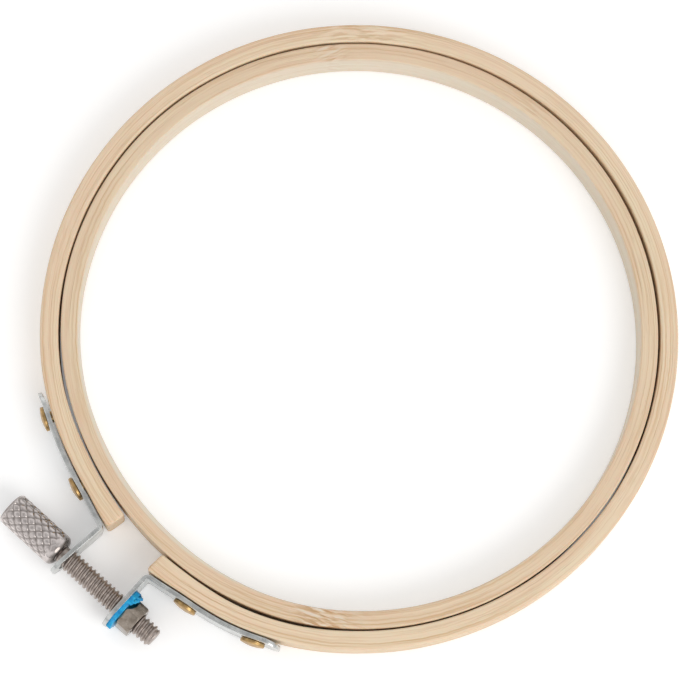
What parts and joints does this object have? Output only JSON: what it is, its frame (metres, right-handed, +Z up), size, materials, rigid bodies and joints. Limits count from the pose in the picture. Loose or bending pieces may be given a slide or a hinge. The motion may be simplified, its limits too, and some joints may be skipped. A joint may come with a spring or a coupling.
{
  "type": "embroidery hoop",
  "caption": "Round bamboo embroidery hoop: a closed inner hoop inside a split outer hoop that a knurled thumb screw draws together.",
  "frame": {"origin": "centre of the two hoops, on the flat bottom the hoop lies on", "axes": "+X along the clamp screw from the knob to the tip, +Y away from the screw across the hoops, +Z up out of the hoops' plane"},
  "size_m": [0.13, 0.1439, 0.0082],
  "materials": {
    "bamboo": "sanded",
    "zinc_steel": "satin",
    "nickel_steel": "polished",
    "brass": "satin",
    "blue_fibre": "glossy"
  },
  "bodies": {
    "outer_hoop_knob_side": {"outer_hoop": "bamboo", "knob_side_bracket": "zinc_steel", "knob_side_outer_rivet": "brass", "knob_side_inner_rivet": "brass"},
    "nut_side_clamp": {"nut_side_bracket": "zinc_steel", "nut_side_inner_rivet": "brass", "nut_side_outer_rivet": "brass", "hex_nut": "nickel_steel", "blue_lock_washer": "blue_fibre"},
    "clamp_screw": {"knurled_knob": "nickel_steel", "threaded_shaft": "nickel_steel"},
    "inner_hoop": {"inner_hoop": "bamboo"}
  },
  "joints": [
    {"name": "screw_turn", "type": "hinge", "parent": "outer_hoop_knob_side", "child": "clamp_screw", "pos_m": [-0.01227, -0.0739, 0.00407], "axis": [1, 0, 0], "range_deg": [-1440, 180]},
    {"name": "hoop_opening", "type": "hinge", "parent": "outer_hoop_knob_side", "child": "nut_side_clamp", "pos_m": [0.0045, 0.0628, 0.00407], "axis": [0, 0, 1], "range_deg": [-0.22, 1.76], "deforming": ["outer_hoop"]},
    {"name": "inner_hoop_lift", "type": "slide", "parent": "outer_hoop_knob_side", "child": "inner_hoop", "axis": [0, 0, 1], "range_m": [0, 0.012]}
  ],
  "couplings": [
    {"joint": "screw_turn", "follows": "hoop_opening", "ratio": -818}
  ]
}
